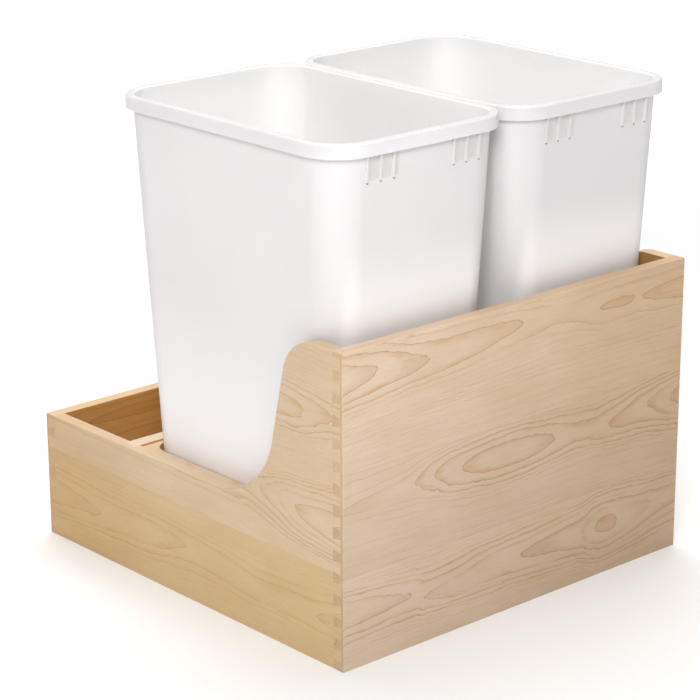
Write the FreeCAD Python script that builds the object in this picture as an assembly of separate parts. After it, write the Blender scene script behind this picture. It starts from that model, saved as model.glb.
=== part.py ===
import FreeCAD, Part
import math
import os

from FreeCAD import Placement, Rotation, Vector

# Pull-out double waste drawer: a dovetailed maple drawer box with scooped sides, a deck
# with two cutouts, a storage bay behind a divider, and two lift-out plastic bins.
# Frame: +Z up, the front faces -Y, and +X is to the right for someone facing the front.
# The origin is the centre of the footprint, level with the lower edges.

INCH = 25.4

# ---- driving dimensions, mm ---------------------------------------------------------
box_width = 20.75 * INCH            # over the outer faces of the sides
box_depth = 21.0 * INCH             # over the front and back panels
front_height = 14.0 * INCH
low_height = 6.0 * INCH             # sides behind the scoop, back and divider
board = 0.625 * INCH                # thickness of front, sides and back
edge_ease = 1.2                     # rounding on the upper and outer edges

# S-shaped scoop in the sides
scoop_slope = 12.7                  # degrees of the straight flank from upright
scoop_crest_radius = 50.0
scoop_foot_radius = 100.0
scoop_flank_from_front = 85.6       # where the flank's line meets the top edge's line

# edge-glued boards: heights of the glue lines
front_glue_lines = (105.6, 222.0)
side_glue_lines = (110.0, 222.0)
back_glue_line = 105.6

# half-blind dovetails
tail_pitch = 25.0
tail_width = 13.5                   # at half its length
tail_angle = 9.0                    # degrees
lap = 3.9                           # of front or back left in front of the tails
first_tail_below_top = tail_pitch / 2

# bottom panel, in grooves, with the recess that undermount runners need below it
bottom_recess = 0.5 * INCH
bottom_thickness = 0.25 * INCH
groove_depth = 0.25 * INCH

# runner interface in the back panel
runner_notch_width = 36.0
hook_bore_radius = 3.0
hook_bore_depth = 10.0
hook_bore_from_side = 7.0           # from the side's inner face
hook_bore_above_bottom = 11.0       # from the bottom panel's underside

# divider, housed in dados in the sides
divider_front = 369.5               # behind the front panel's outer face
divider_thickness = 0.75 * INCH
dado_depth = 0.25 * INCH

# deck and its cleats
deck_drop = 2.5                     # below the low sides
deck_thickness = 0.5 * INCH
deck_edge_ease = 1.0                # round the cutouts' upper edges
cutout_gap = 1.3                    # round a bin at the deck's top
cutout_radius = 25.0
cleat_height = 0.75 * INCH
side_cleat_width = 10.0
front_cleat_width = 0.625 * INCH
rear_cleat_width = 4.0

# bins
rim_length = 376.3
rim_width = 259.2
rim_radius = 47.0
rim_top = 565.0
bin_spacing = 261.0                 # between the bins' centres
bin_centre_from_front = 203.2
bin_seat_gap = 0.3
flange = 7.0                        # the rim's reach beyond the body
skirt_height = 15.4
skirt_thickness = 2.2
rim_round = 2.4
wall = 2.6
taper = 0.048                       # the body's inward lean per unit of height, each side
body_radius_top = 42.0
body_radius_foot = 29.0
body_foot_round = 9.0
floor_thickness = 3.2
foot_recess = 2.0
foot_ring = 16.0                    # width of the standing ring under the bin
mouth_round = 2.2                   # where the inner wall turns over into the rim

# gusset ribs under the rim on the bins' short sides
rib_thickness = 2.4
rib_pitch = 18.4
rib_group_offset = 61.0
rib_drop = 28.5                     # below the skirt
rib_reach_top = 5.2
rib_reach_foot = 3.4

# fasteners
screw_radius = 1.9
screw_head_radius = 4.0
screw_head_depth = 2.6
front_screw_length = 24.0
screw_tip_cover = 3.6               # of wood left beyond a screw's tip
brad_radius = 0.7
brad_length = 15.0
fastener_gap = 0.05
screws_per_cleat = 4
brads_in_rear_cleat = 6
deck_screw_shift = 20.0             # from the cleat screws, along the cleat

# ---- values that follow from them -----------------------------------------------------
half_width = box_width / 2
half_depth = box_depth / 2
front_y = -half_depth
back_y = half_depth
inner_x = half_width - board
inner_front_y = front_y + board
inner_back_y = back_y - board
bottom_top = bottom_recess + bottom_thickness
deck_top = low_height - deck_drop
deck_under = deck_top - deck_thickness
divider_front_y = front_y + divider_front
divider_back_y = divider_front_y + divider_thickness
bin_y = front_y + bin_centre_from_front
bin_foot = bottom_top + bin_seat_gap
body_width_top = rim_width - 2 * flange
body_length_top = rim_length - 2 * flange
beyond = 2 * front_height           # further out than any piece reaches
clear = 1.0                         # how far a cutting solid runs past a face
small = 0.01                        # when places count as the same


def box(low, high):
    """A block between two corners."""
    size = Vector(*high) - Vector(*low)
    return Part.makeBox(size.x, size.y, size.z, Vector(*low))


def mirrored(shape):
    """The same piece on the other side of the drawer."""
    return shape.mirror(Vector(0, 0, 0), Vector(1, 0, 0))


def rounded_rectangle(width, length, radius, z, centre=(0, 0)):
    """A closed wire in a level plane: width along X, length along Y."""
    a = width / 2
    b = length / 2
    far = radius * (1 - math.sqrt(0.5))
    arcs = []
    for sx, sy in ((1, 1), (-1, 1), (-1, -1), (1, -1)):
        on_side = Vector(sx * a, sy * (b - radius), z)
        middle = Vector(sx * (a - far), sy * (b - far), z)
        on_end = Vector(sx * (a - radius), sy * b, z)
        ends = (on_side, on_end) if sx * sy > 0 else (on_end, on_side)
        arcs.append(Part.Arc(ends[0], middle, ends[1]))
    edges = []
    for arc, following in zip(arcs, arcs[1:] + arcs[:1]):
        edges.append(arc.toShape())
        edges.append(Part.makeLine(arc.EndPoint, following.StartPoint))
    wire = Part.Wire(edges)
    wire.translate(Vector(centre[0], centre[1], 0))
    return wire


def prism(wire, height):
    """A solid of level section, upwards from the wire."""
    return Part.Face(wire).extrude(Vector(0, 0, height))


# ---- drawer box -----------------------------------------------------------------------
def side_outline():
    """The side's face in the Y-Z plane, full depth, with the scoop."""
    lean = math.radians(scoop_slope)
    turn = math.radians(90 - scoop_slope)
    reach = math.tan(turn / 2)
    along = Vector(0, math.sin(lean), -math.cos(lean))
    level = Vector(0, 1, 0)

    crest_corner = Vector(0, front_y + scoop_flank_from_front, front_height)
    rise = front_height - low_height
    foot_corner = crest_corner + Vector(0, rise * math.tan(lean), -rise)

    crest_start = crest_corner - level * (scoop_crest_radius * reach)
    crest_end = crest_corner + along * (scoop_crest_radius * reach)
    foot_start = foot_corner - along * (scoop_foot_radius * reach)
    foot_end = foot_corner + level * (scoop_foot_radius * reach)

    crest_centre = crest_start - Vector(0, 0, scoop_crest_radius)
    foot_centre = foot_end + Vector(0, 0, scoop_foot_radius)
    half_turn = Vector(0, math.sin(turn / 2), math.cos(turn / 2))
    crest_middle = crest_centre + half_turn * scoop_crest_radius
    foot_middle = foot_centre - half_turn * scoop_foot_radius

    corners = [
        Vector(0, front_y, front_height),
        Vector(0, front_y, 0),
        Vector(0, back_y, 0),
        Vector(0, back_y, low_height),
    ]
    edges = [
        Part.makeLine(corners[0], corners[1]),
        Part.makeLine(corners[1], corners[2]),
        Part.makeLine(corners[2], corners[3]),
        Part.makeLine(corners[3], foot_end),
        Part.Arc(foot_end, foot_middle, foot_start).toShape(),
        Part.makeLine(foot_start, crest_end),
        Part.Arc(crest_end, crest_middle, crest_start).toShape(),
        Part.makeLine(crest_start, corners[0]),
    ]
    return Part.Face(Part.Wire(edges))


def eased_shell():
    """The four walls as one solid with eased edges, to be divided into boards."""
    left = side_outline().extrude(Vector(board, 0, 0))
    left.translate(Vector(-half_width, 0, 0))
    front = box((-half_width, front_y, 0), (half_width, inner_front_y, front_height))
    back = box((-half_width, inner_back_y, 0), (half_width, back_y, low_height))
    shell = left.fuse([mirrored(left), front, back]).removeSplitter()
    shell = shell.Solids[0]

    def outer_corner(edge):
        low = edge.BoundBox
        upright = low.XLength < small and low.YLength < small
        return upright and abs(abs(low.XMin) - half_width) < small and low.ZMin < small

    def upper_edge(edge):
        low = edge.BoundBox
        upright = low.XLength < small and low.YLength < small
        in_scoop = low_height + small < low.ZMin < front_height - small
        across_side = small < low.XLength < board + small and low.ZMin < front_height - small
        across_scoop = low.XLength > small and in_scoop
        above = low.ZMin > low_height - small
        return above and not (upright or across_side or across_scoop)

    chosen = [e for e in shell.Edges if outer_corner(e) or upper_edge(e)]
    return shell.makeFillet(edge_ease, chosen)


def tail_solids(last_top):
    """Left front tails: flared through the side's thickness, widest at their ends."""
    length = board - lap
    spread = math.tan(math.radians(tail_angle)) * length / 2
    wide = tail_width / 2 + spread
    narrow = tail_width / 2 - spread
    near = front_y + lap
    tails = []
    centre = front_height - first_tail_below_top
    while centre - wide > 0:
        if centre + wide < last_top:
            points = [
                Vector(-half_width, near, centre - wide),
                Vector(-half_width, near, centre + wide),
                Vector(-half_width, near + length, centre + narrow),
                Vector(-half_width, near + length, centre - narrow),
                Vector(-half_width, near, centre - wide),
            ]
            face = Part.Face(Part.makePolygon(points))
            tails.append(face.extrude(Vector(board, 0, 0)))
        centre -= tail_pitch
    return tails


def corner_tails():
    """All tails: (front left, front right, back left, back right)."""
    front_left = tail_solids(front_height)
    turned = []
    for tail in tail_solids(low_height):
        turned.append(tail.mirror(Vector(0, 0, 0), Vector(0, 1, 0)))
    front_right = [mirrored(t) for t in front_left]
    back_right = [mirrored(t) for t in turned]
    return front_left, front_right, turned, back_right


def slabs(glue_lines, top):
    """Level zones between glue lines."""
    heights = [0.0] + list(glue_lines) + [top]
    zones = []
    for low, high in zip(heights, heights[1:]):
        zones.append(box((-beyond, -beyond, low), (beyond, beyond, high)))
    return zones


def bottom_panel():
    """Plywood bottom, its edges in the four grooves."""
    x = inner_x + groove_depth
    return box((-x, inner_front_y - groove_depth, bottom_recess),
               (x, inner_back_y + groove_depth, bottom_top))


def divider_board():
    """Divider across the box, its ends in the sides' dados, its top edge eased."""
    x = inner_x + dado_depth
    solid = box((-x, divider_front_y, bottom_top), (x, divider_back_y, low_height))
    top_edges = [e for e in solid.Edges
                 if e.BoundBox.ZMin > low_height - small and e.BoundBox.XLength > board]
    return solid.makeFillet(edge_ease, top_edges)


def runner_cuts():
    """Notches and hook bores for runners in the back panel."""
    cuts = []
    bore_x = inner_x - hook_bore_from_side
    bore_z = bottom_recess + hook_bore_above_bottom
    for side in (-1, 1):
        edge = side * inner_x
        end = side * (inner_x - runner_notch_width)
        cuts.append(box((min(edge, end), inner_back_y - clear, -clear),
                        (max(edge, end), back_y + clear, bottom_recess)))
        cuts.append(Part.makeCylinder(hook_bore_radius, hook_bore_depth,
                                      Vector(side * bore_x, back_y, bore_z), Vector(0, -1, 0)))
    return cuts


def wall_boards(bottom, divider):
    """Every board of the front, sides and back, by node name."""
    shell = eased_shell()
    front_left, front_right, back_left, back_right = corner_tails()
    front_tails = front_left + front_right
    back_tails = back_left + back_right

    front_zone = box((-beyond, -beyond, -clear), (beyond, inner_front_y, beyond))
    back_zone = box((-beyond, inner_back_y, -clear), (beyond, beyond, beyond))
    left_zone = box((-beyond, inner_front_y, -clear), (-inner_x, inner_back_y, beyond))

    front = shell.common(front_zone).cut(front_tails + [bottom])
    back = shell.common(back_zone).cut(back_tails + [bottom] + runner_cuts())
    tails = [shell.common(t) for t in front_left + back_left]
    left = shell.common(left_zone).fuse(tails).removeSplitter().cut([bottom, divider])
    right = mirrored(left)

    nodes = {}
    names = ("lower", "middle", "upper")
    for zone, name in zip(slabs(front_glue_lines, front_height), names):
        nodes["front_board_" + name] = front.common(zone)
    for zone, name in zip(slabs(side_glue_lines, front_height), names):
        nodes["left_side_" + name] = left.common(zone)
        nodes["right_side_" + name] = right.common(zone)
    for zone, name in zip(slabs((back_glue_line,), low_height), ("lower", "upper")):
        nodes["back_board_" + name] = back.common(zone)
    return nodes


# ---- deck -----------------------------------------------------------------------------
def body_section(z):
    """Width, length and corner radius of a bin's body at a height."""
    fall = rim_top - z
    share = fall / (rim_top - bin_foot)
    width = body_width_top - 2 * taper * fall
    length = body_length_top - 2 * taper * fall
    radius = body_radius_top + (body_radius_foot - body_radius_top) * share
    return width, length, radius


def deck_board():
    """Deck with a rounded cutout round each bin, the cutouts' upper edges eased."""
    solid = box((-inner_x, inner_front_y, deck_under), (inner_x, divider_front_y, deck_top))
    width, length, _ = body_section(deck_top)
    for side in (-1, 1):
        hole = rounded_rectangle(width + 2 * cutout_gap, length + 2 * cutout_gap, cutout_radius,
                                 deck_under - clear, (side * bin_spacing / 2, bin_y))
        solid = solid.cut(prism(hole, deck_thickness + 2 * clear))
    inside = inner_x - clear
    rim = [e for e in solid.Edges
           if e.BoundBox.ZMin > deck_top - small
           and -inside < e.BoundBox.XMin and e.BoundBox.XMax < inside]
    return solid.makeFillet(deck_edge_ease, rim)


def cleat_blocks():
    """Cleats under the deck, by node name."""
    low = deck_under - cleat_height
    end_front = inner_front_y + front_cleat_width
    end_rear = divider_front_y - rear_cleat_width
    left = box((-inner_x, inner_front_y, low),
               (-inner_x + side_cleat_width, divider_front_y, deck_under))
    x = inner_x - side_cleat_width
    return {
        "deck_cleat_left": left,
        "deck_cleat_right": mirrored(left),
        "deck_cleat_front": box((-x, inner_front_y, low), (x, end_front, deck_under)),
        "deck_cleat_rear": box((-x, end_rear, low), (x, divider_front_y, deck_under)),
    }


# ---- fasteners ------------------------------------------------------------------------
def screw(place, direction, length, grow=0.0):
    """Countersunk screw with its head flush at place, pointing along direction."""
    r = screw_radius + grow
    head = screw_head_radius + grow
    depth = screw_head_depth
    profile = [
        Vector(0, 0, 0), Vector(head, 0, 0), Vector(r, 0, depth),
        Vector(r, 0, length - depth), Vector(0, 0, length + grow), Vector(0, 0, 0),
    ]
    solid = Part.Face(Part.makePolygon(profile)).revolve(Vector(0, 0, 0), Vector(0, 0, 1), 360)
    solid.Placement = Placement(Vector(*place), Rotation(Vector(0, 0, 1), Vector(*direction)))
    return solid


def brad(place, direction, grow=0.0):
    """Headless brad, set flush."""
    return Part.makeCylinder(brad_radius + grow, brad_length + grow,
                             Vector(*place), Vector(*direction))


def spread(low, high, count):
    """Evenly spaced places between two limits, half a step in from each."""
    step = (high - low) / count
    return [low + step * (i + 0.5) for i in range(count)]


def fastener_places():
    """Where each group's fasteners start, which way they point and the screws' lengths."""
    middle = deck_under - cleat_height / 2
    under = deck_under - cleat_height
    side_face = inner_x - side_cleat_width
    front_face = inner_front_y + front_cleat_width
    rear_face = divider_front_y - rear_cleat_width
    along_side = spread(front_face, divider_front_y, screws_per_cleat)
    along_deck = [y + deck_screw_shift for y in along_side]
    across = spread(-side_face, side_face, screws_per_cleat)
    between = [x + deck_screw_shift for x in across]
    side_length = side_cleat_width + board - screw_tip_cover

    cleat = []
    for side in (-1, 1):
        for y in along_side:
            cleat.append(((side * side_face, y, middle), (side, 0, 0), side_length))
    cleat += [((x, front_face, middle), (0, -1, 0), front_screw_length) for x in across]

    deck = []
    length = cleat_height + deck_thickness - screw_tip_cover
    for side in (-1, 1):
        x = side * (inner_x - side_cleat_width / 2)
        deck += [((x, y, under), (0, 0, 1), length) for y in along_deck]
    y = inner_front_y + front_cleat_width / 2
    deck += [((x, y, under), (0, 0, 1), length) for x in between]

    places = spread(-side_face, side_face, brads_in_rear_cleat)
    brads = [((x, rear_face, middle), (0, 1, 0)) for x in places]
    return cleat, deck, brads


# ---- bins -----------------------------------------------------------------------------
def body_block(z_low, z_high, inset_low, inset_high):
    """Tapered block inside the body's outer surface, by an inset at each end."""
    wires = []
    for z, inset in ((z_low, inset_low), (z_high, inset_high)):
        width, length, radius = body_section(z)
        wires.append(rounded_rectangle(width - 2 * inset, length - 2 * inset, radius - inset, z))
    return Part.makeLoft(wires, True, True)


def foot_edges(solid, z):
    """The edges round a solid's lower face."""
    return [e for e in solid.Edges if e.BoundBox.ZMax < z + small]


def rib():
    """One gusset rib on the short side that faces the front, centred on X = 0."""
    skirt_foot = rim_top - skirt_height
    low = skirt_foot - rib_drop
    face_low = -body_section(low)[1] / 2
    face_top = -body_section(rim_top - rim_round)[1] / 2
    root = wall / 2
    points = [
        Vector(0, face_low + root, low),
        Vector(0, face_low - rib_reach_foot, low),
        Vector(0, face_low - rib_reach_top, skirt_foot),
        Vector(0, face_top - flange + skirt_thickness / 2, skirt_foot + 1.0),
        Vector(0, face_top - flange + skirt_thickness / 2, rim_top - rim_round),
        Vector(0, face_top + root, rim_top - rim_round),
        Vector(0, face_low + root, low),
    ]
    solid = Part.Face(Part.makePolygon(points)).extrude(Vector(rib_thickness, 0, 0))
    solid.translate(Vector(-rib_thickness / 2, 0, 0))
    return solid


def rim_shell():
    """The rolled rim: a level plate with a skirt round its outer edge."""
    low = rim_top - skirt_height
    plate = prism(rounded_rectangle(rim_width, rim_length, rim_radius, low), skirt_height)
    top_edges = [e for e in plate.Edges if e.BoundBox.ZMin > rim_top - small]
    plate = plate.makeFillet(rim_round, top_edges)
    channel = rounded_rectangle(rim_width - 2 * skirt_thickness, rim_length - 2 * skirt_thickness,
                                rim_radius - skirt_thickness, low - clear)
    return plate.cut(prism(channel, skirt_height - rim_round + clear))


def mouth_edges(solid):
    """The edges at the top of a bin's inner wall."""
    top = [e for e in solid.Edges if e.BoundBox.ZMin > rim_top - small]
    return [
        e for e in top
        if max(e.BoundBox.XMax, -e.BoundBox.XMin) < body_width_top / 2
        and max(e.BoundBox.YMax, -e.BoundBox.YMin) < body_length_top / 2
    ]


def waste_bin():
    """One bin, centred on X = 0 and Y = 0."""
    outer = body_block(bin_foot, rim_top - clear, 0.0, 0.0)
    outer = outer.makeFillet(body_foot_round, foot_edges(outer, bin_foot))
    solid = outer.fuse(rim_shell())

    for group in (-1, 1):
        for place in (-1, 0, 1):
            fin = rib()
            fin.translate(Vector(group * rib_group_offset + place * rib_pitch, 0, 0))
            solid = solid.fuse([fin, fin.mirror(Vector(0, 0, 0), Vector(0, 1, 0))])

    floor = bin_foot + floor_thickness
    cavity = body_block(floor, rim_top + clear, wall, wall)
    cavity = cavity.makeFillet(body_foot_round - wall, foot_edges(cavity, floor))
    solid = solid.cut(cavity).removeSplitter()
    solid = solid.makeFillet(mouth_round, mouth_edges(solid))

    width, length, radius = body_section(bin_foot)
    under = rounded_rectangle(width - 2 * foot_ring, length - 2 * foot_ring,
                              radius - foot_ring / 2, bin_foot - clear)
    return solid.cut(prism(under, foot_recess + clear))


# ---- assembly -------------------------------------------------------------------------
def build():
    bottom = bottom_panel()
    divider = divider_board()
    nodes = wall_boards(bottom, divider)
    nodes["bottom_panel"] = bottom
    nodes["divider"] = divider
    nodes["deck"] = deck_board()
    nodes.update(cleat_blocks())

    cleat, deck, brads = fastener_places()
    nodes["cleat_screws"] = Part.makeCompound([screw(*place) for place in cleat])
    nodes["deck_screws"] = Part.makeCompound([screw(*place) for place in deck])
    nodes["cleat_brads"] = Part.makeCompound([brad(*place) for place in brads])

    holes = [screw(*place, fastener_gap) for place in cleat + deck]
    holes += [brad(*place, fastener_gap) for place in brads]
    for name, shape in nodes.items():
        if name in ("cleat_screws", "deck_screws", "cleat_brads"):
            continue
        near = [h for h in holes if shape.BoundBox.intersect(h.BoundBox)]
        if near:
            nodes[name] = shape.cut(near)

    for side, name in ((-1, "bin_left"), (1, "bin_right")):
        shape = waste_bin()
        shape.translate(Vector(side * bin_spacing / 2, bin_y, 0))
        nodes[name] = shape
    return nodes


os.makedirs("parts", exist_ok=True)
for node, shape in build().items():
    shape.exportStep("parts/" + node + ".step")
    print(node, len(shape.Solids), shape.isValid(), round(shape.Volume / 1000, 1), "cm3")
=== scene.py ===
import math

import bpy
from mathutils import Matrix, Vector


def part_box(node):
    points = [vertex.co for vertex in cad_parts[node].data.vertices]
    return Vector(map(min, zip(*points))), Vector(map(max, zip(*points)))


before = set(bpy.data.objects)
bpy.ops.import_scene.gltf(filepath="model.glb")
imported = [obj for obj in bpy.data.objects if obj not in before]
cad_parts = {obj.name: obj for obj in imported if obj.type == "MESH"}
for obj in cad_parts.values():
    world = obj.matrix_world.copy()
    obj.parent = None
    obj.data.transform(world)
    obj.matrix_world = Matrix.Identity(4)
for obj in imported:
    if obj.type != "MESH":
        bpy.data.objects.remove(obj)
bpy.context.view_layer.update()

# Looks of a pull-out waste drawer: lacquered maple boards, plywood, zinc screws and two
# white plastic bins.  Materials work in millimetres of the drawer's own frame.

MM = 0.001
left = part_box("left_side_lower")[0].x / MM
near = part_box("front_board_lower")[0].y / MM
right, far = -left, -near                   # the drawer is centred
front_glue = [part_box("front_board_" + n)[1].z / MM for n in ("lower", "middle")]
side_glue = [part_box("left_side_" + n)[1].z / MM for n in ("lower", "middle")]
back_glue = [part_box("back_board_lower")[1].z / MM]
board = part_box("deck")[0].y / MM - near     # the walls' thickness
divider_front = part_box("divider")[0].y / MM
mid_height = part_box("front_board_upper")[1].z / MM / 2


def linear(red, green, blue):
    """A colour given as 8-bit display values, as the shader wants it."""
    def one(v):
        v /= 255
        return v / 12.92 if v <= 0.04045 else ((v + 0.055) / 1.055) ** 2.4
    return (one(red), one(green), one(blue), 1.0)


# ---- node graphs written as expressions ------------------------------------------------
class Field:
    """A number, vector or colour that varies over the surface."""

    def __init__(self, graph, socket):
        self.graph = graph
        self.socket = socket

    def __add__(self, other):
        return self.graph.math("ADD", self, other)

    def __radd__(self, other):
        return self.graph.math("ADD", other, self)

    def __sub__(self, other):
        return self.graph.math("SUBTRACT", self, other)

    def __rsub__(self, other):
        return self.graph.math("SUBTRACT", other, self)

    def __mul__(self, other):
        return self.graph.math("MULTIPLY", self, other)

    def __truediv__(self, other):
        return self.graph.math("DIVIDE", self, other)

    def __neg__(self):
        return self.graph.math("MULTIPLY", self, -1.0)


class Graph:
    """A material whose nodes are made by calls."""

    def __init__(self, name):
        self.material = bpy.data.materials.new(name)
        self.material.use_nodes = True
        self.tree = self.material.node_tree
        self.tree.nodes.clear()
        output = self.tree.nodes.new("ShaderNodeOutputMaterial")
        self.shader = self.tree.nodes.new("ShaderNodeBsdfPrincipled")
        self.tree.links.new(self.shader.outputs["BSDF"], output.inputs["Surface"])

    def put(self, socket, value):
        if isinstance(value, Field):
            self.tree.links.new(value.socket, socket)
        else:
            socket.default_value = value

    def math(self, operation, a, b=None, clamp=False):
        node = self.tree.nodes.new("ShaderNodeMath")
        node.operation = operation
        node.use_clamp = clamp
        self.put(node.inputs[0], a)
        if b is not None:
            self.put(node.inputs[1], b)
        return Field(self, node.outputs[0])

    def vector(self, x, y, z):
        node = self.tree.nodes.new("ShaderNodeCombineXYZ")
        for socket, value in zip(node.inputs, (x, y, z)):
            self.put(socket, value)
        return Field(self, node.outputs[0])

    def place(self):
        """The point in the drawer's frame at rest, as three fields in millimetres."""
        coordinate = self.tree.nodes.new("ShaderNodeTexCoord")
        split = self.tree.nodes.new("ShaderNodeSeparateXYZ")
        self.tree.links.new(coordinate.outputs["Object"], split.inputs[0])
        return [Field(self, split.outputs[i]) / MM for i in range(3)]

    def normal(self):
        """The surface's own direction, as three fields."""
        coordinate = self.tree.nodes.new("ShaderNodeTexCoord")
        split = self.tree.nodes.new("ShaderNodeSeparateXYZ")
        self.tree.links.new(coordinate.outputs["Normal"], split.inputs[0])
        return [Field(self, split.outputs[i]) for i in range(3)]

    def noise(self, at, detail, roughness=0.5):
        """Smooth noise from -0.5 to 0.5, with cells one unit across."""
        node = self.tree.nodes.new("ShaderNodeTexNoise")
        self.put(node.inputs["Vector"], at)
        node.inputs["Scale"].default_value = 1.0
        node.inputs["Detail"].default_value = detail
        node.inputs["Roughness"].default_value = roughness
        return Field(self, node.outputs["Fac"]) - 0.5

    def dice(self, value):
        """A random number from 0 to 1 for each whole number."""
        node = self.tree.nodes.new("ShaderNodeTexWhiteNoise")
        node.noise_dimensions = "1D"
        self.put(node.inputs["W"], value)
        return Field(self, node.outputs["Value"])

    def span(self, value, low, high, to_low=0.0, to_high=1.0):
        """Smooth step from one level to another."""
        node = self.tree.nodes.new("ShaderNodeMapRange")
        node.interpolation_type = "SMOOTHSTEP"
        settings = (value, low, high, to_low, to_high)
        for socket, setting in zip(node.inputs, settings):
            self.put(socket, setting)
        return Field(self, node.outputs[0])

    def curve(self, value, low, high, points):
        """A smooth line through (place, height) points, for places from low to high."""
        heights = [p[1] for p in points]
        lowest = min(heights)
        reach = max(max(heights) - lowest, 0.001)
        node = self.tree.nodes.new("ShaderNodeFloatCurve")
        line = node.mapping.curves[0]
        places = [((x - low) / (high - low), (h - lowest) / reach) for x, h in points]
        while len(line.points) < len(places):
            line.points.new(0.5, 0.5)
        for point, (x, h) in zip(line.points, places):
            point.location = (x, h)
        node.mapping.update()
        self.put(node.inputs["Value"], (value - low) / (high - low))
        return Field(self, node.outputs[0]) * reach + lowest

    def blend(self, amount, first, second, kind="MIX"):
        """Two colours mixed by an amount from 0 to 1."""
        node = self.tree.nodes.new("ShaderNodeMix")
        node.data_type = "RGBA"
        node.blend_type = kind
        self.put(node.inputs["Factor"], amount)
        self.put(node.inputs["A"], first)
        self.put(node.inputs["B"], second)
        return Field(self, node.outputs["Result"])

    def bump(self, height, depth):
        """Surface relief of a depth in millimetres."""
        node = self.tree.nodes.new("ShaderNodeBump")
        node.inputs["Distance"].default_value = depth * MM
        self.put(node.inputs["Height"], height)
        self.put(self.shader.inputs["Normal"], Field(self, node.outputs[0]))

    def set(self, **values):
        """Sets the shader's inputs: base_color=..., roughness=... and so on."""
        for name, value in values.items():
            title = name.replace("_", " ").title().replace("Ior", "IOR")
            self.put(self.shader.inputs[title], value)


# ---- maple ------------------------------------------------------------------------------
maple_pale = linear(218, 195, 170)
maple_mean = linear(207, 181, 152)
maple_late = linear(196, 164, 130)
maple_line = linear(166, 122, 82)
maple_orange = linear(202, 146, 72)
maple_pore = linear(158, 122, 90)

# tones against the board's face
end_tone = (0.86, 0.78, 0.65, 1.0)
amber_tone = (0.925, 0.84, 0.73, 1.0)
yellow_tone = (0.95, 0.86, 0.58, 1.0)
# painted shade and painted warm bounce light, for the faces inside the box
inner_shade_tone = (0.76, 0.54, 0.25, 1.0)

line_width = 1.3                            # of a ring's dark line, mm
line_least = 0.025                          # of a ring
line_share = 0.55                           # how far the line takes its own colour
late_part = 0.6                             # of a ring, where the wood darkens toward its line
late_share = 0.6
stain_share = 0.5                           # of orange, beside the lines
pore_share = 0.3                            # of the pores' colour, on end grain
shade_mean = 0.985
glue_shade = 0.12                           # how much darker a glue line is
edge_highlight = 0.16                            # how much paler the painted highlight makes the upward eased edges
swell = 0.05                                # how rings crowd outward
grain_depth = 0.03                          # mm


class Figure:
    """How one board was sawn, which sets the arches that its rings draw on the face.

    The pith lies behind the board, and path says where it runs: (place along the board,
    height, rings).  A ring's arch has its tip where the last number passes a whole one.
    """

    def __init__(self, path, depth=60.0, ring=2.9, contrast=1.0, seed=0.0):
        self.path = path
        self.depth = depth                  # mm from the face to the pith
        self.ring = ring                    # mm between rings
        self.contrast = contrast            # strength of the drawing
        self.seed = seed
        self.calm = sum(point[1] for point in path) / len(path)


class Tone:
    """A board's colour: its brightness, how it changes over the board, and painted light and shade
    on it.
    """

    def __init__(self, tint=1.0, fade=0.0, painted_top_light=0.0, yellow=0.0, amber=None, inner_shade=1.0):
        self.tint = tint                    # brightness against the other boards
        self.fade = fade                    # painted light falloff: how much darker the far end is than the middle
        self.painted_top_light = painted_top_light                    # painted top light: how much brighter the box's top is than its middle
        self.yellow = yellow                # share of the yellower tone
        self.amber = amber                  # where the amber tone begins, and where it is full
        self.inner_shade = inner_shade                  # share of the painted shade and warm bounce light on the inner face


# how rings waver, finest first: cells along and across the board, push along and across, in
# mm, and the noise's detail
wavers = ((6, 2.0, 5.0, 0.6, 2), (13, 6.0, 8.0, 3.4, 1), (55, 18.0, 12.0, 6.0, 1))
course_core, course_reach = 6.0, 42.0       # mm from the pith line, where its wander fades
pith_rings = (4.5, 1.0)                     # from the pith, where the drawing grows stronger


def ring_count(graph, along, height, into, figure):
    """How many rings out from the pith line a point lies, and how many a millimetre holds."""
    moved, raised = along, height
    for length, width, push, lift, detail in wavers:
        at = graph.vector(along / length + figure.seed, height / width, into / width)
        waver = graph.noise(at, detail)
        moved = moved + waver * push
        raised = raised + waver * lift
    start, end = figure.path[0][0], figure.path[-1][0]
    course = graph.curve(moved, start, end, [(p[0], p[1]) for p in figure.path])
    rings = graph.curve(moved, start, end, [(p[0], p[2]) for p in figure.path])
    level = raised - figure.calm
    near_course = graph.span(graph.math("ABSOLUTE", level), course_reach, course_core)
    across = level - (course - figure.calm) * near_course
    below = figure.depth - into
    radius = graph.math("SQRT", across * across + below * below) - figure.depth
    count = radius / figure.ring + rings
    outward = graph.math("MAXIMUM", count, 0.0)
    steepness = graph.math("ABSOLUTE", across) / (radius + figure.depth)
    grade = steepness / figure.ring * (1.0 + outward * (2.0 * swell))
    return count + outward * outward * swell, grade


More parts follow.
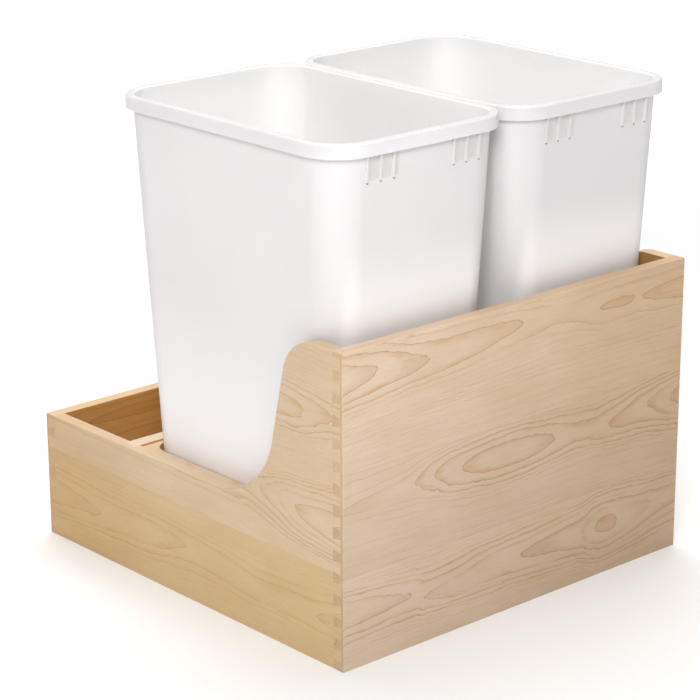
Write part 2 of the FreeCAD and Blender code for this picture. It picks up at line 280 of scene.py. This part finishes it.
def maple(name, wall, figure, tone=Tone(), glue_lines=()):
    """Lacquered hard maple: rings about a pith, fibres, flecks, end grain; painted light and
    shade.
    """
    graph = Graph(name)
    x, y, z = graph.place()
    facing = graph.normal()
    lengthwise = facing[0] if wall in ("front", "back", "across") else facing[1]
    along, into, inward = {
        "front": (x, y - near, facing[1]),
        "back": (x, far - y, -facing[1]),
        "across": (x, y - divider_front + board, -facing[1]),
        "left": (y, x - left, facing[0]),
        "right": (y, right - x, -facing[0]),
    }[wall]
    seed = figure.seed

    def grain(length, width, detail, roughness=0.5, shift=seed):
        """Noise with cells of a length and a width in millimetres, drawn out along the board."""
        at = graph.vector(along / length + shift, z / width, into / width)
        return graph.noise(at, detail, roughness)

    count, grade = ring_count(graph, along, z, into, figure)
    cell = graph.math("FLOOR", count)
    to_edge = 1.0 - graph.math("FRACT", count)
    near_pith = graph.span(count, *pith_rings)

    fade = graph.noise(graph.vector(along / 55 + seed, z / 14, cell * 1.7), 1)
    force = graph.span(graph.dice(cell + seed * 7) + fade * 1.8 + near_pith * 0.6, 0.1, 1.1)
    force = force * (near_pith * 0.65 + 0.35) * figure.contrast
    width = grade * line_width + line_least
    line = graph.span(to_edge / width, 1.0, 0.15) * force
    late = graph.span(to_edge, late_part, 0.0) * force

    fibre = grain(45, 0.8, 3, 0.6)
    streak = grain(14, 1.1, 2)
    band = grain(210, 5.5, 2, 0.6)
    cloud = grain(90, 45, 2)
    fleck = graph.span(grain(5.5, 0.55, 1), 0.15, 0.28)
    stain = graph.span(grain(40, 9, 1, shift=seed * 2), 0.02, 0.18)

    colour = graph.blend(graph.span(cloud + band * 0.7, -0.4, 0.4), maple_pale, maple_mean)
    colour = graph.blend(graph.math("MULTIPLY", late, late_share, True), colour, maple_late)
    colour = graph.blend(stain * near_pith * late * stain_share, colour, maple_orange)
    ink = graph.blend(stain, maple_line, maple_orange)
    colour = graph.blend(graph.math("MULTIPLY", line, line_share, True), colour, ink)

    ends = graph.span(graph.math("ABSOLUTE", lengthwise), 0.45, 0.95)
    pores = grain(8, 0.35, 2, shift=0.0)
    end_colour = graph.blend(1.0, colour, end_tone, "MULTIPLY")
    end_colour = graph.blend(graph.span(pores, -0.1, 0.4) * pore_share, end_colour, maple_pore)
    colour = graph.blend(ends, colour, end_colour)

    shade = shade_mean + fibre * 0.2 + streak * 0.16 + band * 0.08 + cloud * 0.05 - fleck * 0.07
    for height in glue_lines:
        gap = graph.math("ABSOLUTE", z - height)
        shade = shade - graph.span(gap, 0.4, 0.1) * glue_shade
    # painted light: the board darker toward its far end and brighter toward the box's top
    painted_top_light = (z - mid_height) / mid_height * tone.painted_top_light
    shade = shade * (tone.tint - along / right * tone.fade + painted_top_light)
    sideways = [graph.math("ABSOLUTE", facing[i]) for i in (0, 1)]
    squareness = graph.math("MAXIMUM", sideways[0], sideways[1])
    # painted highlight: eased edges that face upward made paler
    painted_edge_highlight = graph.span(squareness, 0.97, 0.8) * graph.span(facing[2], 0.15, 0.5)
    shade = shade * (1.0 + painted_edge_highlight * edge_highlight)
    colour = graph.blend(1.0, colour, shade, "MULTIPLY")

    def toned(amount, hue):
        """The colour with a share of one of the tones."""
        return graph.blend(amount, colour, graph.blend(1.0, colour, hue, "MULTIPLY"))

    if tone.amber:
        wander = cloud * 60 + band * 40
        colour = toned(graph.span(along + wander, tone.amber[0], tone.amber[1]), amber_tone)
    if tone.yellow:
        colour = toned(tone.yellow, yellow_tone)
    # painted shade and painted warm bounce light: the faces inside the box darker and oranger
    colour = toned(graph.span(inward, 0.4, 0.9) * (1.0 + cloud * 0.5) * tone.inner_shade, inner_shade_tone)

    graph.set(base_color=colour, specular_ior_level=0.45, coat_weight=0.1, coat_roughness=0.3)
    graph.set(roughness=0.48 + fibre * 0.12 + cloud * 0.08 + line * 0.06)
    graph.bump(fibre * 0.6 - line * 0.5 - fleck * 0.5, grain_depth)
    return graph.material


# ---- plywood ----------------------------------------------------------------------------
veneer_dark = linear(214, 182, 138)
ply_along = linear(222, 190, 146)
ply_across = linear(184, 140, 94)
ply_glue = linear(120, 84, 50)
ply_crumb = linear(150, 108, 66)
seam_share, crumb_share = 0.6, 0.4


def plywood(name, top, plies, thickness):
    """Maple-faced plywood: calm rotary-cut veneer, with its plies showing at the edges."""
    graph = Graph(name)
    x, y, z = graph.place()
    wave = graph.noise(graph.vector(x / 190, y / 26, 1.0), 3)
    bands = graph.math("SINE", y / 11 + wave * 14)
    fibre = graph.noise(graph.vector(x / 40, y / 0.7, z / 0.7), 3, 0.6)
    cloud = graph.noise(graph.vector(x / 110, y / 60, 3.0), 2)
    colour = graph.blend(graph.span(bands + cloud * 2, -1.2, 1.4), maple_pale, veneer_dark)
    ply = (top - z) / (thickness / plies)
    parity = graph.math("MODULO", graph.math("FLOOR", ply), 2.0)
    seam = graph.math("ABSOLUTE", graph.math("FRACT", ply) - 0.5)
    crumb = graph.noise(graph.vector(x / 1.2, y / 1.2, z / 0.3), 2)
    layers = graph.blend(parity, ply_along, ply_across)
    layers = graph.blend(graph.span(seam, 0.42, 0.5) * seam_share, layers, ply_glue)
    layers = graph.blend(graph.span(crumb, 0.05, 0.3) * crumb_share, layers, ply_crumb)
    level = graph.math("ABSOLUTE", graph.normal()[2])
    colour = graph.blend(graph.span(level, 0.55, 0.3), colour, layers)
    colour = graph.blend(1.0, colour, 1.0 + fibre * 0.16 + cloud * 0.12, "MULTIPLY")
    graph.set(base_color=colour, coat_weight=0.1, coat_roughness=0.3)
    graph.set(roughness=0.48 + fibre * 0.14 + cloud * 0.1)
    graph.bump(fibre, 0.02)
    return graph.material


# ---- plastic and steel ------------------------------------------------------------------
# a bin's shape, mm
rib_pitch = 18.4
rib_group = 61.0                            # from a bin's middle to the middle rib of a group
rib_foot = 521.1                            # height of the ribs' feet
skirt_foot = 549.6                          # height of the skirt under the rim
inner_wall = (82.0, 92.0)                   # from a bin's middle, where its inner faces begin

# painted shadow by the ribs
gap_start, gap_end = (0.06, 0.09), (0.95, 0.92)     # shares of a pitch, from one rib to the next
spot_aside, spot_under = 0.17 * rib_pitch, 1.4      # from a rib's foot to the dark corner, mm
spot_edge, spot_core = 2.2, 0.8                     # mm

# where painted light and shade change a bin's outside: where the change begins and where it is
# full, mm
fill_sides, fill_ends = (380.0, 170.0), (460.0, 360.0)    # heights of the painted fill light low down, on the sides and on the ends
shade_reach = (-150.0, 0.0)                  # across the drawer
gap_fill_reach = (35.0, 110.0)               # into the gap between the bins
shade_share = 0.5

# how strongly wear takes its own colour
scuff_share, dust_share, worn_share = 0.3, 0.2, 0.45
# how strongly the painted shadows by the ribs take their colour
rib_shadow_share, foot_shadow_share = 0.75, 0.9

# a bin's colours
outer_pale = linear(220, 217, 218)
outer_mean = linear(216, 213, 214)
outer_painted_shade = linear(205, 202, 204)          # painted shade on the ends, toward the drawer's right
# painted highlight on the rim's front
outer_rim_highlight = linear(230, 227, 229)
# painted fill light low down, where the drawer's walls shade the bins
outer_painted_fill = linear(240, 236, 235)
outer_gap_fill = linear(250, 248, 247)       # painted fill light where the bins face each other
inner_tone = linear(247, 245, 244)
scuff_tone = linear(206, 203, 198)
dust_tone = linear(216, 210, 200)
# painted shadow beside the ribs and under their feet
rib_shadow_tone = linear(200, 197, 194)
foot_shadow_tone = linear(132, 126, 120)

zinc_pale = linear(196, 198, 202)
zinc_dull = linear(168, 168, 164)


def rib_painted_shadow(graph, across, z, facing):
    """Painted shadow on the wall beside the gusset ribs, and in the corner under each rib's foot.
    """
    rib_shadow, corners = 0.0, 0.0
    for group in (-1, 1):
        place = (across - group * rib_group) / rib_pitch    # the ribs are at -1, 0 and 1
        gap = graph.math("FRACT", place)
        among = graph.span(place, -1.0, -0.98) * graph.span(place, 1.6, 1.4)
        wall = graph.span(gap, *gap_start) * graph.span(gap, *gap_end) * (1.0 - gap * 0.4)
        aside = gap * rib_pitch - spot_aside
        under = z - rib_foot + spot_under
        away = graph.math("SQRT", aside * aside + under * under)
        # painted shadow: a dark spot just below and beside each rib's foot
        foot_shadow = graph.span(away, spot_edge, spot_core)
        rib_shadow = rib_shadow + wall * among
        corners = corners + foot_shadow * among
    above = graph.span(z, rib_foot - 0.5, rib_foot + 2.0)
    below = graph.span(z, skirt_foot, skirt_foot - 0.4)
    flat = graph.span(graph.math("ABSOLUTE", facing), 0.8, 0.95)
    return rib_shadow * above * below * flat, corners * flat


def outer_colour(graph, place, facing, low, cloud, neighbour_side):
    """The plastic's colour outside: painted shade on the ends; painted light at the rim, low down
    and in the gap.
    """
    x, y, z = place
    forward = graph.span(-facing[1], 0.5, 0.95)
    # painted highlight on the front of the rim
    rim = forward * graph.span(z, skirt_foot - 1.0, skirt_foot)
    # painted fill light: paler low down, starting higher up on the ends
    begin, full = (forward * (end - side) + side for end, side in zip(fill_ends, fill_sides))
    fill_light = graph.span(z, begin, full)
    # painted fill light on the faces where the bins face each other
    toward_neighbour = graph.span(facing[0] * neighbour_side, 0.5, 0.95)
    between = toward_neighbour * graph.span(y - low.y, *gap_fill_reach)
    colour = graph.blend(graph.span(cloud, -0.3, 0.3), outer_pale, outer_mean)
    colour = graph.blend(rim, colour, outer_rim_highlight)
    # painted shade: the ends darker toward the drawer's right, where the light falls off
    colour = graph.blend(forward * graph.span(x, *shade_reach) * shade_share, colour, outer_painted_shade)
    colour = graph.blend(fill_light, colour, outer_painted_fill)
    return graph.blend(between, colour, outer_gap_fill)


def white_plastic(name, node, seed):
    """Satin moulded polypropylene: fine spark-eroded skin, faint drag marks, dust, painted light
    and shade.
    """
    graph = Graph(name)
    x, y, z = graph.place()
    facing = graph.normal()
    low, high = (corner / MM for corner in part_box(node))
    middle = (low + high) / 2
    inward = (middle.x - x) * facing[0] + (middle.y - y) * facing[1]
    inside = graph.span(inward, *inner_wall)

    skin = graph.noise(graph.vector(x / 0.5, y / 0.5, z / 0.5), 2)
    cloud = graph.noise(graph.vector(x / 90 + seed, y / 90, z / 140), 3)
    drag = graph.noise(graph.vector(x / 1.1 + seed, y / 1.1, z / 55), 2)
    rub = graph.noise(graph.vector(x / 34 + seed, y / 34, z / 34), 3, 0.65)
    scuff = graph.span(drag, 0.13, 0.24) * graph.span(rub, 0.02, 0.2)
    flow = graph.noise(graph.vector(x / 22, y / 22, z / 70 + seed), 1)
    foot = graph.span(z + cloud * 40, 60.0, 10.0)
    rib_shadow, corners = rib_painted_shadow(graph, x - middle.x, z, facing[1])
    worn = graph.span(facing[2], 0.6, 0.95) * graph.span(z, skirt_foot, skirt_foot + 5)

    neighbour_side = -1.0 if middle.x > 0 else 1.0
    outer = outer_colour(graph, (x, y, z), facing, low, cloud, neighbour_side)
    colour = graph.blend(inside, outer, inner_tone)
    colour = graph.blend(scuff * scuff_share, colour, scuff_tone)
    colour = graph.blend(foot * dust_share, colour, dust_tone)
    # painted shadow beside the ribs and under their feet
    colour = graph.blend(rib_shadow * (1.0 - inside) * rib_shadow_share, colour, rib_shadow_tone)
    colour = graph.blend(corners * (1.0 - inside) * foot_shadow_share, colour, foot_shadow_tone)
    colour = graph.blend(worn * worn_share, colour, scuff_tone)
    graph.set(base_color=colour, roughness=0.38 + rub * 0.14 + scuff * 0.2 + skin * 0.06)
    graph.set(specular_ior_level=0.45, subsurface_weight=0.35, subsurface_scale=0.008)
    graph.set(subsurface_radius=(1.0, 0.95, 0.9))
    graph.bump(skin * 0.35 + flow * 3 - scuff * 0.4, 0.03)
    return graph.material


def zinc(name):
    """Bright zinc plate on drawn steel, slightly clouded."""
    graph = Graph(name)
    x, y, z = graph.place()
    cloud = graph.noise(graph.vector(x / 2.5, y / 2.5, z / 2.5), 3)
    turned = graph.noise(graph.vector(x / 0.25, y / 0.25, z / 0.25), 2)
    colour = graph.blend(graph.span(cloud, -0.25, 0.25), zinc_pale, zinc_dull)
    graph.set(base_color=colour, metallic=1.0)
    graph.set(roughness=0.3 + cloud * 0.2 + turned * 0.12)
    graph.bump(turned, 0.02)
    return graph.material


# ---- the boards -------------------------------------------------------------------------
whole_front = (left, right)
rear_half = (0.0, far)

front_figures = {
    "upper": Figure((
        (left, 328, -0.7), (-216, 327, 0), (-136, 323, 1), (-64, 328, 1.42), (22, 333, 2),
        (62, 331, 2.35), (100, 327, 2.1), (118, 325, 1.88), (128, 325, 1.81), (152, 325, 1.765),
        (174, 325, 1.805), (186, 325, 1.87), (197, 324, 1.8), (right, 322, 1.4),
    ), depth=75, ring=3.0, seed=1),
    "middle": Figure((
        (left, 182, 2.6), (-172, 185, 2), (-134, 190, 1), (-92, 188, 0), (-18, 187, -0.7),
        (54, 187, 0), (98, 185, 0.5), (141, 182, 0), (206, 190, -1), (246, 190, -2),
        (right, 190, -2.4),
    ), depth=52, ring=3.1, seed=2),
    "lower": Figure((
        (left, 66, -0.8), (-164, 60, 0), (-154, 57, 0.06), (-145, 53, 0), (-110, 51, -0.35),
        (-60, 57, -0.7), (0, 60, -1), (60, 60, -1.5), (100, 59, -2), (122, 59, -3),
        (142, 59, -3.3), (161, 59, -3), (218, 66, -2), (right, 68, -1.5),
    ), depth=50, ring=3.3, seed=3),
}
front_tones = {
    "upper": Tone(0.92, fade=0.07, painted_top_light=0.08, amber=whole_front, inner_shade=0.2),
    "middle": Tone(0.89, fade=0.07, painted_top_light=0.09, amber=whole_front, inner_shade=0.2),
    "lower": Tone(0.92, fade=0.08, painted_top_light=0.075, amber=whole_front, inner_shade=0.2),
}
side_figures = {
    "lower": Figure((
        (near, 58, 0.5), (-140, 50, 1.2), (-10, 63, 1), (60, 60, 0.4), (120, 57, 0.2),
        (162, 55, 0), (far, 58, -0.8),
    ), depth=60, ring=3.3, contrast=0.6, seed=4),
    "middle": Figure((
        (near, 160, -3.2), (-190, 166, -2), (-160, 172, -1), (-132, 172, 0), (-90, 165, 1),
        (20, 158, 1.6), (far, 156, 2.4),
    ), depth=46, ring=3.1, contrast=0.75, seed=5),
    "upper": Figure((
        (near, 281, 1.1), (-257, 281, 1), (-206, 279, 0), (-170, 278, -0.5), (far, 278, -1.0),
    ), depth=52, ring=2.8, contrast=0.8, seed=6),
}
side_tones = {
    "lower": Tone(0.955, yellow=0.9, amber=rear_half),
    "middle": Tone(0.96, yellow=0.32, amber=rear_half),
    "upper": Tone(0.94, yellow=0.25, amber=rear_half),
}


def dress(node, material):
    """Gives a CAD node its finished material."""
    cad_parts[node].material_slots[0].material = material


for layer, figure in front_figures.items():
    finish = maple("maple_front_" + layer, "front", figure, front_tones[layer], front_glue)
    dress("front_board_" + layer, finish)
for layer, figure in side_figures.items():
    for side in ("left", "right"):
        finish = maple("maple_" + side + "_" + layer, side, figure, side_tones[layer], side_glue)
        dress(side + "_side_" + layer, finish)
        figure.seed += 20                   # so that the right side's waver is its own


def plain_path(height):
    """A pith line for a board out of sight, at a height."""
    return (
        (left, height, 1.5), (-120, height + 4, 0.3), (20, height - 3, 1.6),
        (150, height + 5, 0.2), (right, height, 1.8),
    )


def plain_figure(height, seed):
    """A board out of sight, sawn at a height."""
    return Figure(plain_path(height), contrast=0.8, seed=seed)


for layer, height, seed in (("lower", 55, 11), ("upper", 128, 12)):
    figure = plain_figure(height, seed)
    finish = maple("maple_back_" + layer, "back", figure, Tone(yellow=0.6), back_glue)
    dress("back_board_" + layer, finish)
dress("divider", maple("maple_divider", "across", plain_figure(90, 13)))
for seed, place in enumerate(("left", "right", "front", "rear"), 14):
    wall = "across" if place == "rear" else place
    dress("deck_cleat_" + place, maple("maple_cleat_" + place, wall, plain_figure(128, seed)))

for node, plies in (("deck", 9), ("bottom_panel", 5)):
    low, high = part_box(node)
    dress(node, plywood("plywood_" + node, high.z / MM, plies, (high.z - low.z) / MM))
for node in ("cleat_screws", "deck_screws", "cleat_brads"):
    dress(node, zinc("zinc_" + node))
for number, node in enumerate(("bin_left", "bin_right")):
    dress(node, white_plastic("plastic_" + node, node, number * 7.3))


# ---- floor, light and camera ------------------------------------------------------------
white = (1.0, 1.0, 1.0, 1.0)
paper_white = linear(253, 253, 253)
floor_reach = 30.0                          # metres
glow_start, glow_full = 1.3, 4.0            # metres out, where the floor's own light sets in
glow_strength = 0.75
sky_strength = 0.2
horizon_strength = 1.0
horizon_start, horizon_full = 0.18, 0.09    # sine of the height where the bright band sets in
drawer_middle = (0.0, -0.05, 0.25)
lamps = (                                   # name, place, aim, metres across, watts
    ("key", (-2.2, -2.2, 2.15), drawer_middle, 1.1, 74.5),
    ("top", (0.0, 0.1, 2.4), drawer_middle, 2.0, 29.0),
    ("back", (2.6, 3.2, 3.8), (2.0, 2.4, 0.0), 5.0, 150.0),
)
camera_place = (-1.8462, -2.0544, 1.1415)
camera_yaw, camera_pitch, camera_roll = 41.71, 18.12, -0.2
camera_sensor, camera_lens = 36.0, 127.4    # mm


def floor():
    """A plain pale studio floor, wide enough for every view."""
    low, high = -floor_reach, floor_reach
    mesh = bpy.data.meshes.new("floor")
    corners = [(low, low, 0), (high, low, 0), (high, high, 0), (low, high, 0)]
    mesh.from_pydata(corners, [], [(0, 1, 2, 3)])
    plane = bpy.data.objects.new("floor", mesh)
    bpy.context.scene.collection.objects.link(plane)
    graph = Graph("floor_paper")
    x, y = graph.place()[:2]
    distance = graph.math("SQRT", x * x + y * y) * MM
    glow = graph.span(distance, glow_start, glow_full, 0.0, glow_strength)
    graph.set(base_color=paper_white, roughness=0.9, specular_ior_level=0.1)
    graph.set(emission_color=white, emission_strength=glow)
    mesh.materials.append(graph.material)


def area_light(name, place, aim, size, power):
    """A soft square lamp that points at a place."""
    lamp = bpy.data.lights.new(name, "AREA")
    lamp.shape = "SQUARE"
    lamp.size = size
    lamp.energy = power
    holder = bpy.data.objects.new(name, lamp)
    holder.location = place
    turn = (Vector(aim) - Vector(place)).to_track_quat("-Z", "Y")
    holder.rotation_euler = turn.to_euler()
    bpy.context.scene.collection.objects.link(holder)


def studio():
    """A white room: dim overhead, bright near the horizon, with three soft lamps."""
    world = bpy.data.worlds.new("studio")
    world.use_nodes = True
    tree = world.node_tree
    sky = tree.nodes["Background"]
    sky.inputs["Color"].default_value = white
    direction = tree.nodes.new("ShaderNodeTexCoord")
    split = tree.nodes.new("ShaderNodeSeparateXYZ")
    tree.links.new(direction.outputs["Generated"], split.inputs[0])
    height = tree.nodes.new("ShaderNodeMath")
    height.operation = "ABSOLUTE"
    tree.links.new(split.outputs["Z"], height.inputs[0])
    glow = tree.nodes.new("ShaderNodeMapRange")
    glow.interpolation_type = "SMOOTHSTEP"
    settings = (horizon_start, horizon_full, sky_strength, horizon_strength)
    for socket, setting in zip(glow.inputs[1:], settings):
        socket.default_value = setting
    tree.links.new(height.outputs[0], glow.inputs[0])
    tree.links.new(glow.outputs[0], sky.inputs["Strength"])
    bpy.context.scene.world = world
    for lamp in lamps:
        area_light(*lamp)
    bpy.context.scene.view_settings.view_transform = "Standard"


def camera():
    """Three-quarter view from the front left, a little above."""
    yaw, pitch, roll = (math.radians(a) for a in (camera_yaw, camera_pitch, camera_roll))
    flat = math.cos(pitch)
    forward = Vector((math.sin(yaw) * flat, math.cos(yaw) * flat, -math.sin(pitch)))
    level = forward.cross(Vector((0, 0, 1))).normalized()
    upright = level.cross(forward)
    across = math.cos(roll) * level + math.sin(roll) * upright
    up = math.cos(roll) * upright - math.sin(roll) * level
    turn = Matrix((across, up, -forward)).transposed()
    lens = bpy.data.cameras.new("camera")
    lens.sensor_width = camera_sensor
    lens.lens = camera_lens
    holder = bpy.data.objects.new("camera", lens)
    holder.matrix_world = Matrix.Translation(Vector(camera_place)) @ turn.to_4x4()
    bpy.context.scene.collection.objects.link(holder)
    bpy.context.scene.camera = holder


floor()
studio()
camera()
